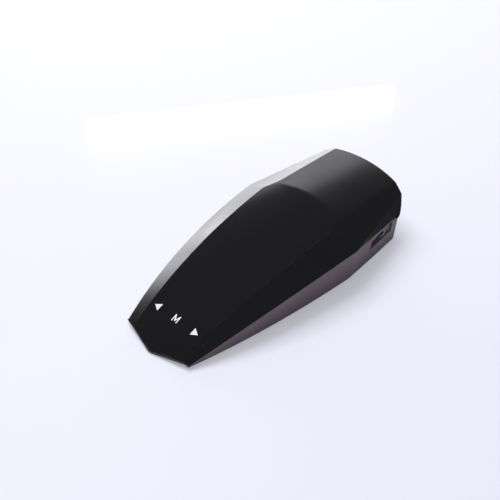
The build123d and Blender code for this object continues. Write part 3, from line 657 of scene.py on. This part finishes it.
def palette():
    """Every finish by name."""
    if Palette.made:
        return Palette.made
    look = bpy.context.scene.detector_look
    groups = {"grain": grain_group(), "marks": handling_group(), "drift": drift_group(),
              "brushed": brushed_group(), "tracks": tracks_group()}
    made = Palette.made
    # The cover's rounded corners and lip get a painted highlight of pale grey, mixed in up to 0.35.
    made["cover"] = plastic(groups, "cover_black", tuple(look.cover_colour), look.cover_roughness,
                            1400.0, 0.004, 0.5, edge_highlight_colour=(0.10, 0.10, 0.11), edge=0.35)
    made["case"] = plastic(groups, "case_grey", tuple(look.case_colour), look.case_roughness,
                           2200.0, 0.02, 0.4)
    made["window"] = plastic(groups, "window_dark_red", (0.020, 0.006, 0.008), 0.08, 900.0, 0.002, 0.5)
    made["mark"] = light_guide(groups, "key_mark_white", (0.80, 0.86, 0.91), 0.12)
    made["lamp"] = light_guide(groups, "lamp_milky", (0.82, 0.80, 0.66), 0.2)
    made["film"] = plastic(groups, "film_amber", (0.42, 0.20, 0.04), 0.3, 700.0, 0.004, 0.3)
    made["chip"] = plastic(groups, "chip_black", (0.022, 0.022, 0.024), 0.5, 2600.0, 0.02, 0.3)
    made["socket"] = plastic(groups, "socket_black", (0.030, 0.030, 0.034), 0.4, 2000.0, 0.01, 0.2)
    made["ceramic"] = plastic(groups, "ceramic_buff", (0.62, 0.50, 0.34), 0.55, 1800.0, 0.03, 0.3)
    made["rubber"] = plastic(groups, "foot_rubber", (0.028, 0.028, 0.030), 0.75, 1300.0, 0.05, 0.6)
    made["label"] = plastic(groups, "label_foil", (0.62, 0.62, 0.64), 0.42, 500.0, 0.01, 0.6)
    made["board"] = circuit_board(groups, "board_green", (0.012, 0.10, 0.045))
    made["silver"] = metal(groups, "silver_plate", (0.80, 0.80, 0.78), 0.22)
    made["steel"] = metal(groups, "plated_steel", (0.62, 0.62, 0.64), 0.26)
    made["shell"] = metal(groups, "socket_steel", (0.60, 0.60, 0.66), 0.20)
    made["screw"] = metal(groups, "screw_steel", (0.35, 0.35, 0.37), 0.30)
    made["gold"] = metal(groups, "contact_gold", (0.83, 0.60, 0.26), 0.22)
    made["copper"] = metal(groups, "coil_copper", (0.72, 0.36, 0.20), 0.35, 0.02)
    made["cast"] = metal(groups, "cast_alloy", (0.55, 0.55, 0.57), 0.42, 0.03)
    made["magnet"] = metal(groups, "magnet_nickel", (0.40, 0.40, 0.42), 0.30)
    made["foam"] = fibrous(groups, "foam_black", (0.030, 0.030, 0.032), 1500.0, 0.95)
    made["paper"] = fibrous(groups, "cone_paper", (0.055, 0.052, 0.050), 1100.0, 0.85)
    made["lens"] = clear_lens("laser_lens_clear")
    return made


def finish_nodes(finishes):
    """Puts finishes on CAD nodes whose shapes are right."""
    for node, finish in finishes.items():
        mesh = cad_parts[node].data
        mesh.materials.clear()
        mesh.materials.append(palette()[finish])


# ---------------------------------------------------------------- settings
class DetectorForm(bpy.types.PropertyGroup):
    """Sizes that a maker may change."""

    corner_softness: FloatProperty(
        name="Corner softness", description="Soft band of the cover's long corners in millimetres",
        default=0.10, min=0.02, max=1.0)
    end_round: FloatProperty(
        name="End rounding", description="Radius where the panels meet the end faces in millimetres",
        default=0.7, min=0.1, max=2.0)
    base_round: FloatProperty(
        name="Base rounding", description="Radius of the case's lower edge in millimetres",
        default=0.7, min=0.1, max=1.5)
    mark_rise: FloatProperty(
        name="Mark rise", description="How far the key marks stand out of the cover in millimetres",
        default=0.02, min=0.0, max=0.1)


class DetectorLook(bpy.types.PropertyGroup):
    """Colours and gloss that a maker may change."""

    cover_colour: FloatVectorProperty(
        name="Cover", description="Colour of the cover", subtype="COLOR", size=3,
        default=(0.0050, 0.0050, 0.0056), min=0, max=1)
    cover_roughness: FloatProperty(
        name="Cover roughness", description="Roughness of the cover", subtype="FACTOR",
        default=0.20, min=0, max=1)
    case_colour: FloatVectorProperty(
        name="Case", description="Colour of the case", subtype="COLOR", size=3,
        default=(0.185, 0.138, 0.150), min=0, max=1)
    case_roughness: FloatProperty(
        name="Case roughness", description="Roughness of the case", subtype="FACTOR",
        default=0.45, min=0, max=1)
    floor_colour: FloatVectorProperty(
        name="Floor", description="Colour of the floor", subtype="COLOR", size=3,
        default=(0.85, 0.85, 1.0), min=0, max=1)


# ---------------------------------------------------------------- operators
class DETECTOR_OT_cover(bpy.types.Operator):
    """Builds the glossy cover with its rim and skirt"""

    bl_idname = "detector.cover"
    bl_label = "Cover"

    def execute(self, context):
        form = context.scene.detector_form
        half = spread([0, 0.60, 0.64, 0.83, 0.87, 1.0], [22, 8, 12, 6, 8])
        v = np.concatenate([-half[:0:-1], half])
        stations = spread([0, 12, 40, 96, 107, 138, LENGTH], [12, 20, 38, 34, 24, 14])
        outer, highlight_marks = cover_outer(v, stations, form.corner_softness, form.end_round)
        rows, columns = outer.shape[:2]
        s = outer[..., 1] + LENGTH / 2
        inner_s = 5.0 + s * 0.945
        part = np.maximum(side_and_parting(s)[1], CASE_BASE)
        inner_part = np.maximum(side_and_parting(inner_s)[1], CASE_BASE)
        inner = points(outer[..., 0] * 0.9, inner_s, inner_part + (outer[..., 2] - part) * 0.86 + 0.3)
        loop = loop_of(rows, columns)
        bands = [self.rim_band(outer.reshape(-1, 3)[loop], *band) for band in
                 ((0.03, 0, -0.12), (0.1, 0, -0.22), (0.2, 0, -0.28), (0.4, 0, -0.3), (0.5, 0, 0),
                  (1.9, 0, 0), (1.95, -1, 0), (2.9, -1, 0), (2.95, 0, 0.4))]
        verts = np.concatenate([outer.reshape(-1, 3), inner.reshape(-1, 3)] + bands)
        count = rows * columns
        faces = strip_faces(rows, columns).tolist()
        faces += strip_faces(rows, columns, start=count)[:, ::-1].tolist()
        n = len(loop)
        rings = [loop] + [2 * count + k * n + np.arange(n) for k in range(len(bands))] + [count + loop]
        for a, b in zip(rings[:-1], rings[1:]):
            faces += np.stack([a, b, np.roll(b, -1), np.roll(a, -1)], 1).tolist()
        # The lip's first ring is marked fully, so the painted highlight runs along it.
        marks = np.concatenate([highlight_marks.ravel(), np.zeros(count), np.ones(n), np.zeros((len(bands) - 1) * n)])
        make_piece("cover", verts, faces, palette()["cover"], replaces=["top_cover"], slot="cover_gloss",
                   sharp=40.0, highlight_marks=marks)
        return {"FINISHED"}

    def rim_band(self, rim, inset, fall, lift):
        """One ring under the cover's edge, drawn in by an inset on all sides and dropped to the skirt's foot.

        The skirt fades out towards the nose and beside the data port.
        """
        s = rim[:, 1] + LENGTH / 2
        x = rim[:, 0] * (1 - inset / side_and_parting(s)[0])
        s = LENGTH / 2 + (s - LENGTH / 2) * (1 - 2 * inset / LENGTH)
        drop = 1.9 * np.clip((s - 9) / 6, 0, 1)
        beside_port = (x > 20) & (s > 112.5) & (s < 136.2)
        drop = np.where(beside_port, 0.4, drop)
        level = np.maximum(side_and_parting(s)[1], CASE_BASE)
        return points(x, s, level + fall * drop + lift)


class DETECTOR_OT_key_marks(bpy.types.Operator):
    """Builds the three key marks flush with the cover"""

    bl_idname = "detector.key_marks"
    bl_label = "Key marks"

    def execute(self, context):
        form = context.scene.detector_form
        h, w, k, middle, spacing = 1.85, 1.65, 0.55, 17.2, 12.3
        arrow = [(1.1 * h, 0), (-0.75 * h, h), (-0.75 * h, -h)]
        h = 1.7
        letter = [(-w, -h), (-w, h), (-w + k, h), (0, -h * 0.15), (w - k, h), (w, h), (w, -h), (w - k, -h),
                  (w - k, h - 2.3 * k), (0, -h * 0.85), (-w + k, h - 2.3 * k), (-w + k, -h)]
        outlines = {"left_key_mark": [(-spacing - a, b) for a, b in arrow], "mode_key_mark": letter,
                    "right_key_mark": [(spacing + a, b) for a, b in arrow]}
        for name, outline in outlines.items():
            loop = np.array(outline) + [0, middle]
            edge, top, crown = front_lines(loop[:, 1])[2:]
            level = top + crown * (1 - (loop[:, 0] / edge) ** 2)
            a, b = loop[:, 0], loop[:, 1]
            verts = np.concatenate([points(a, b, level - 0.5), points(a, b, level + form.mark_rise)])
            count = len(a)
            faces = [list(range(count))[::-1], list(range(count, 2 * count))]
            faces += [[i, (i + 1) % count, count + (i + 1) % count, count + i] for i in range(count)]
            node = name.replace("mark", "light")
            make_piece(name, verts, faces, palette()["mark"], replaces=[node], slot="key_light")
        return {"FINISHED"}


class DETECTOR_OT_window(bpy.types.Operator):
    """Builds the laser window in the rear face"""

    bl_idname = "detector.window"
    bl_label = "Laser window"

    def execute(self, context):
        outline = rounded_box((0, 24.6), (13.0, 2.7), 0.8)
        rows = []
        for scale, rise in ((1.0, -0.6), (1.0, 0.0), (0.985, 0.05), (0.6, 0.06), (0.05, 0.06)):
            x = outline[:, 0] * scale
            z = 24.6 + (outline[:, 1] - 24.6) * scale
            rows.append(points(x, rear_end(x, z) + rise, z))
        verts = np.concatenate(rows)
        count = len(outline)
        faces = strip_faces(len(rows), count, closed=True).tolist()
        faces += [list(range(count)), list(range(4 * count, 5 * count))[::-1]]
        finish = palette()["window"]
        make_piece("laser_window", verts, faces, finish, replaces=["rear_window"], slot="window_gloss")
        return {"FINISHED"}


def case_wall_points(stations, levels, inset, drop):
    """Wall columns round the case: right side, rear face, left side, front; rows are the levels.

    Sides follow the half width, less the reveal and the draft below the parting line. They slide so
    that they end on the rear face, whose columns follow its plan arc and lean.
    """
    t = np.asarray(levels)[:, None]
    inset = np.asarray(inset)[:, None]

    def height(s):
        low = CASE_BASE + np.asarray(drop)[:, None]
        return low + t * (side_and_parting(s)[1] - GROOVE - low)

    def wall(s, z):
        side, part = side_and_parting(s)
        lean = np.where(s < KINK, 0.17, straight(s, KINK, 0.17, 0.02))
        return side - REVEAL - inset - lean * (part - z)

    s0 = stations[None, :] + 0 * t
    s = s0.copy()
    for _ in range(12):
        z = height(s)
        x = wall(s, z)
        behind = np.clip((s0 - 112.0) / (LENGTH - 112.0), 0, 1) ** 2
        ahead = np.clip(1 - s0 / 40.0, 0, 1) ** 2
        s = s0 + ahead * (CASE_START + inset) - behind * (LENGTH - rear_end(x, z, REVEAL) + inset)
    right = points(x, s, z)
    share = np.linspace(1, -1, 41)[None, 1:-1]
    rear_x = x[:, -1:] * np.sin(share * pi / 2)
    rear_z = height(right[:, -1:, 1] + LENGTH / 2) + 0 * rear_x
    rear = points(rear_x, rear_end(rear_x, rear_z, REVEAL) - inset, rear_z)
    left = right[:, ::-1] * [-1, 1, 1]
    front_x = x[:, :1] * np.linspace(-1, 1, 13)[None, 1:-1]
    front = points(front_x, CASE_START + inset + 0 * front_x, z[:, :1] + 0 * front_x)
    return np.concatenate([right, rear, left, front], axis=1)


class DETECTOR_OT_case(bpy.types.Operator):
    """Builds the satin case with its port pocket, grille, foot, screw and label recesses"""

    bl_idname = "detector.case"
    bl_label = "Case"

    def execute(self, context):
        radius = context.scene.detector_form.base_round
        stations = spread([0, 20, 60, 96, 103, 113.4, 135.2, LENGTH], [12, 20, 16, 10, 8, 14, 10])
        turn = np.linspace(0, pi / 2, 6)
        levels = np.concatenate([np.zeros(6), [0.25, 0.5, 0.75, 0.97, 1.0]])
        inset = np.concatenate([radius * (1 - np.sin(turn)), [0, 0, 0, 0, 0.15]])
        drop = np.concatenate([radius * (1 - np.cos(turn)), [radius] * 5])
        outer = case_wall_points(stations, levels, inset, drop)
        rim = case_wall_points(stations, np.ones(2), np.array([0.3, CASE_WALL]), np.zeros(2) + radius)
        inner = case_wall_points(stations, np.array([0.5, 0.0]), np.full(2, CASE_WALL),
                                 np.full(2, CASE_FLOOR - CASE_BASE))
        grid = np.concatenate([outer, rim, inner])
        count = grid.shape[1]
        place_s = grid[..., 1] + LENGTH / 2
        inside = np.arange(len(grid))[:, None] > len(outer)
        pad = (place_s > 113.4) & (place_s < 135.3) & (grid[..., 0] > 26.8) & inside
        grid[..., 0] = np.where(pad, 26.8, grid[..., 0])
        faces = strip_faces(len(grid), count, closed=True).tolist()
        faces += [list(range(count))[::-1], list(range((len(grid) - 1) * count, len(grid) * count))]
        finish = palette()["case"]
        case = make_piece("case", grid.reshape(-1, 3), faces, finish, replaces=["lower_case"],
                          slot="case_satin")
        for cutter in self.cutters():
            self.cut(case, cutter)
        tidy_mesh(case.data)
        settle(case, finish, "housing", (), 32.0)
        return {"FINISHED"}

    def cutters(self):
        """Pocket, aperture, and everything cut from below, each as a closed solid."""
        pocket = prism(rounded_box((124.3, 12.0), (9.25, 3.0), 0.6), 28.4, 45.0, sideways)
        aperture = prism(rounded_box((124.3, 12.0), (5.35, 2.5), 0.8), 24.0, 28.6, sideways)
        feet = ((-11, 19), (11, 19), (-19, 129), (19, 129))
        below = [prism(ring_points(x, s, 4.5), -1, 1.0, upright) for x, s in feet]
        for x, s in ((-13, 34), (13, 34), (-25.5, 103), (25.5, 103)):
            below.append(prism(ring_points(x, s, 2.55), -1, 2.19, upright))
        for i in range(7):
            shift = (i - 3) * 3.2
            half = np.sqrt(11.0 ** 2 - shift ** 2)
            below.append(prism(slot_points(74.0 + shift, half, 0.75), -1, 3.2, upright))
        below.append(prism(rounded_box((0, 104.0), (15.0, 9.0), 0.8), -1, 0.55, upright))
        return [pocket, aperture, joined(below)]

    def cut(self, case, solid):
        """Takes a solid out of the case by an exact difference."""
        cutter = make_piece("cutter", *solid, palette()["case"])
        step = case.modifiers.new("cut", "BOOLEAN")
        step.operation = "DIFFERENCE"
        step.solver = "EXACT"
        step.object = cutter
        graph = bpy.context.evaluated_depsgraph_get()
        result = bpy.data.meshes.new_from_object(case.evaluated_get(graph))
        case.modifiers.clear()
        case.data = result
        bpy.data.objects.remove(cutter)


class DETECTOR_OT_port(bpy.types.Operator):
    """Finishes the data socket in the case's right side"""

    bl_idname = "detector.port"
    bl_label = "Data port"

    def execute(self, context):
        finish_nodes({"port_shell": "shell", "port_tongue": "socket", "port_contacts": "gold"})
        return {"FINISHED"}


class DETECTOR_OT_boards(bpy.types.Operator):
    """Finishes the boards, the touch film and what is mounted on them"""

    bl_idname = "detector.boards"
    bl_label = "Boards and film"

    def execute(self, context):
        finish_nodes({"touch_film": "film", "film_tail": "film", "film_connector": "socket",
                      "key_lamps": "lamp", "main_board": "board", "display_module": "chip",
                      "display_digits": "lamp", "processor": "chip", "voice_memory": "chip",
                      "audio_amplifier": "chip", "antenna_patch": "ceramic", "antenna_plate": "silver",
                      "backup_cell": "steel"})
        return {"FINISHED"}


class DETECTOR_OT_loudspeaker(bpy.types.Operator):
    """Finishes the loudspeaker, whose cone and coil slide together"""

    bl_idname = "detector.loudspeaker"
    bl_label = "Loudspeaker"

    def execute(self, context):
        finish_nodes({"speaker_gasket": "foam", "speaker_basket": "steel", "speaker_magnet": "magnet",
                      "speaker_cone": "paper", "voice_coil": "copper", "speaker_surround": "foam"})
        return {"FINISHED"}


class DETECTOR_OT_receivers(bpy.types.Operator):
    """Finishes the radar horn with its mixer and the laser receiver"""

    bl_idname = "detector.receivers"
    bl_label = "Receivers"

    def execute(self, context):
        finish_nodes({"radar_horn": "cast", "radar_mixer": "steel", "laser_board": "board",
                      "laser_diode": "chip", "laser_holder": "socket", "laser_lens": "lens"})
        return {"FINISHED"}


class DETECTOR_OT_underside(bpy.types.Operator):
    """Finishes the screws, the feet and the blank label"""

    bl_idname = "detector.underside"
    bl_label = "Screws, feet and label"

    def execute(self, context):
        finish_nodes({"case_screws": "screw", "board_screws": "screw", "rubber_feet": "rubber",
                      "rating_label": "label"})
        return {"FINISHED"}


def add_softbox(name, azimuth, elevation, distance, size, power, colour):
    """Rectangular lamp that looks at the object; azimuth 0 is the nose side and grows towards +X."""
    lamp = bpy.data.lights.new(name, "AREA")
    lamp.shape = "RECTANGLE"
    lamp.size, lamp.size_y = size
    lamp.energy = power
    lamp.color = colour
    holder = bpy.data.objects.new(name, lamp)
    a, e = radians(azimuth), radians(elevation)
    out = Vector((sin(a) * cos(e), -cos(a) * cos(e), sin(e)))
    holder.location = out * distance + Vector((0, 0, 0.015))
    holder.rotation_mode = "QUATERNION"
    holder.rotation_quaternion = out.to_track_quat("Z", "Y")
    bpy.context.scene.collection.objects.link(holder)
    return holder


class DETECTOR_OT_stage(bpy.types.Operator):
    """Builds the floor, the lamps, the surroundings and the camera"""

    bl_idname = "detector.stage"
    bl_label = "Stage"

    def execute(self, context):
        scene = context.scene
        look = scene.detector_look
        self.floor(tuple(look.floor_colour))
        self.surroundings(scene)
        add_softbox("low_strip", 239.0, 4.5, 1.5, (1.8, 0.2), 7.9, (0.97, 0.97, 1.0))
        add_softbox("nose_strip", 268.0, 10.0, 1.5, (0.55, 0.3), 2.3, (0.97, 0.97, 1.0))
        add_softbox("back_panel", 221.0, 23.5, 1.45, (1.1, 0.38), 2.3, (0.97, 0.97, 1.0))
        key = add_softbox("key_softbox", 262.0, 64.0, 1.3, (0.8, 0.8), 13.0, (1.0, 1.0, 1.0))
        fill = add_softbox("overhead_fill", 90.0, 86.0, 1.3, (1.2, 1.2), 4.5, (1.0, 1.0, 1.0))
        key.visible_glossy = False
        fill.visible_glossy = False
        self.card("flag_card", 151.0, (0.030, 0.038), 0.042, 0.08, 0.024, 0.12)
        self.card("glow_card", 236.0, (-0.028, 0.040), 0.100, 0.09, 0.022, 3.0)
        self.camera(scene)
        scene.view_settings.view_transform = "Standard"
        return {"FINISHED"}

    def card(self, name, azimuth, start, distance, half, height, strength):
        """Upright card that only reflections see, at an azimuth and distance from a starting place."""
        a = radians(azimuth)
        along = Vector((cos(a), sin(a), 0))
        middle = Vector((*start, 0)) + Vector((sin(a), -cos(a), 0)) * distance
        sides = ((-half, 0), (half, 0), (half, height), (-half, height))
        mesh = bpy.data.meshes.new(name)
        mesh.from_pydata([middle + along * x + Vector((0, 0, z)) for x, z in sides], [], [(0, 1, 2, 3)])
        card = bpy.data.objects.new(name, mesh)
        bpy.context.scene.collection.objects.link(card)
        material, tree, shader = shader_of(name)
        shader.inputs["Base Color"].default_value = (0, 0, 0, 1)
        shader.inputs["Emission Color"].default_value = (0.97, 0.97, 1.0, 1)
        shader.inputs["Emission Strength"].default_value = strength
        mesh.materials.append(material)
        for ray in ("camera", "diffuse", "shadow", "transmission"):
            setattr(card, "visible_" + ray, False)

    def floor(self, colour):
        """Wide pale plane under the object."""
        mesh = bpy.data.meshes.new("floor")
        reach = 6.0
        corners = [(-reach, -reach, 0), (reach, -reach, 0), (reach, reach, 0), (-reach, reach, 0)]
        mesh.from_pydata(corners, [], [(0, 1, 2, 3)])
        floor = bpy.data.objects.new("floor", mesh)
        bpy.context.scene.collection.objects.link(floor)
        material, tree, shader = shader_of("floor_paper")
        coord = place(tree, "ShaderNodeTexCoord").outputs["Object"]
        fibre = noise_in(tree, coord, 900.0, 3.0)
        tint = mix_colours(tree, fibre, (*[c * 0.995 for c in colour], 1), (*colour, 1))
        link(tree, tint, shader.inputs["Base Color"])
        shader.inputs["Roughness"].default_value = 0.3
        far = place(tree, "ShaderNodeVectorMath", operation="LENGTH")
        link(tree, coord, far.inputs[0])
        path = tree.nodes.new("ShaderNodeLightPath")
        paleness = ramp_of(tree, far.outputs["Value"], 0.2, 0.8, 0.35)
        fade = maths(tree, "MULTIPLY", paleness, path.outputs["Is Camera Ray"])
        paper = place(tree, "ShaderNodeEmission", Strength=1.0)
        paper.inputs["Color"].default_value = (0.93, 0.94, 1.0, 1)
        mix = tree.nodes.new("ShaderNodeMixShader")
        link(tree, fade, mix.inputs[0])
        link(tree, shader.outputs[0], mix.inputs[1])
        link(tree, paper.outputs[0], mix.inputs[2])
        link(tree, mix.outputs[0], tree.nodes["Material Output"].inputs["Surface"])
        mesh.materials.append(material)

    def surroundings(self, scene):
        """Soft grey surroundings, white where the camera sees them directly."""
        world = bpy.data.worlds.new("studio")
        scene.world = world
        world.use_nodes = True
        tree = world.node_tree
        sky = tree.nodes["Background"]
        sky.inputs["Color"].default_value = (0.93, 0.94, 1.0, 1)
        sky.inputs["Strength"].default_value = 0.18
        seen = place(tree, "ShaderNodeBackground", Strength=1.0)
        seen.inputs["Color"].default_value = (0.93, 0.94, 1.0, 1)
        mix = tree.nodes.new("ShaderNodeMixShader")
        path = tree.nodes.new("ShaderNodeLightPath")
        link(tree, path.outputs["Is Camera Ray"], mix.inputs[0])
        link(tree, sky.outputs[0], mix.inputs[1])
        link(tree, seen.outputs[0], mix.inputs[2])
        link(tree, mix.outputs[0], tree.nodes["World Output"].inputs["Surface"])

    def camera(self, scene):
        """Camera above the right front, with a long lens."""
        data = bpy.data.cameras.new("camera")
        data.lens = 87.04
        data.sensor_width = 36.0
        data.clip_start = 0.01
        camera = bpy.data.objects.new("camera", data)
        a, e = radians(45.13), radians(41.5)
        camera.location = (0.30041, -0.30875, 0.39617)
        back = Vector((sin(a) * cos(e), -cos(a) * cos(e), sin(e)))
        turn = back.to_track_quat("Z", "Y").to_matrix() @ Matrix.Rotation(radians(-0.28), 3, "Z")
        camera.rotation_mode = "QUATERNION"
        camera.rotation_quaternion = turn.to_quaternion()
        scene.collection.objects.link(camera)
        scene.camera = camera


class DETECTOR_PT_panel(bpy.types.Panel):
    """Settings and building steps of the detector"""

    bl_label = "Radar detector"
    bl_idname = "DETECTOR_PT_panel"
    bl_space_type = "VIEW_3D"
    bl_region_type = "UI"
    bl_category = "Detector"

    def draw(self, context):
        for settings in (context.scene.detector_form, context.scene.detector_look):
            box = self.layout.box()
            for name in settings.bl_rna.properties.keys():
                if name not in {"rna_type", "name"}:
                    box.prop(settings, name)
        for operator in STEPS:
            self.layout.operator(operator.bl_idname)


STEPS = (DETECTOR_OT_cover, DETECTOR_OT_key_marks, DETECTOR_OT_window, DETECTOR_OT_case,
         DETECTOR_OT_port, DETECTOR_OT_boards, DETECTOR_OT_loudspeaker, DETECTOR_OT_receivers,
         DETECTOR_OT_underside, DETECTOR_OT_stage)
CLASSES = (DetectorForm, DetectorLook, *STEPS, DETECTOR_PT_panel)


def register():
    """Adds the classes and the settings."""
    for item in CLASSES:
        bpy.utils.register_class(item)
    bpy.types.Scene.detector_form = PointerProperty(type=DetectorForm)
    bpy.types.Scene.detector_look = PointerProperty(type=DetectorLook)


def unregister():
    """Removes the settings and the classes."""
    del bpy.types.Scene.detector_look
    del bpy.types.Scene.detector_form
    for item in reversed(CLASSES):
        bpy.utils.unregister_class(item)


def main():
    """Builds everything in order."""
    register()
    for step in STEPS:
        getattr(bpy.ops.detector, step.bl_idname.split(".")[1])()


if __name__ == "__main__":
    main()
